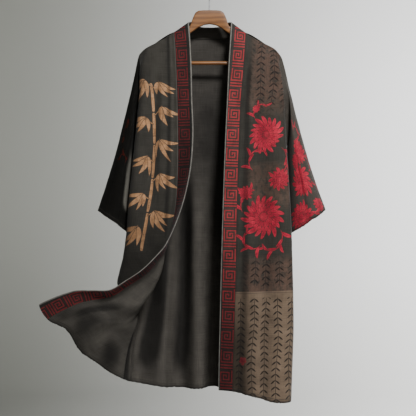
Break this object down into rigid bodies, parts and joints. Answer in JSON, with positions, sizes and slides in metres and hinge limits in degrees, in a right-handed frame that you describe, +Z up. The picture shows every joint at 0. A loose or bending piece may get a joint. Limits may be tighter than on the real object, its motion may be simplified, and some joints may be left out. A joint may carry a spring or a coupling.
{
  "type": "long open kimono on a wooden hanger",
  "caption": "Long kimono worn open, with a band collar and short hanging sleeves, one lower front corner turned back, on a wooden hanger with a wire hook.",
  "frame": {"origin": "the point inside the top of the hanger's hook where a rail or wall hook carries it", "axes": "+Z up along the length of the garment, +X to the viewer's right across the hanger, the front of the garment faces -Y"},
  "size_m": [0.8708, 0.2475, 1.2831],
  "materials": {
    "cloth_front_left": "matt slubbed cotton and linen with a pale brushed plant print",
    "cloth_front_right": "matt slubbed cotton and linen with red flower and brown leaf prints",
    "cloth_back": "matt slubbed cotton and linen",
    "cloth_sleeve_left": "matt slubbed cotton and linen with a dim sprig print",
    "cloth_sleeve_right": "matt slubbed cotton and linen with a red flower print",
    "band": "matt cotton with a printed red meander between ladder borders",
    "piping": "matt corded cotton edging",
    "wood": "honey coloured hardwood under satin lacquer",
    "steel": "drawn steel wire"
  },
  "bodies": {
    "root": {"front_left": "cloth_front_left", "front_right": "cloth_front_right", "back": "cloth_back", "sleeve_left": "cloth_sleeve_left", "sleeve_right": "cloth_sleeve_right", "collar_left": "band", "collar_right": "band", "collar_neck": "band", "piping_left": "piping", "piping_right": "piping", "piping_neck": "piping", "hanger_board": "wood", "hanger_bar": "wood", "hanger_hook": "steel"}
  },
  "joints": []
}
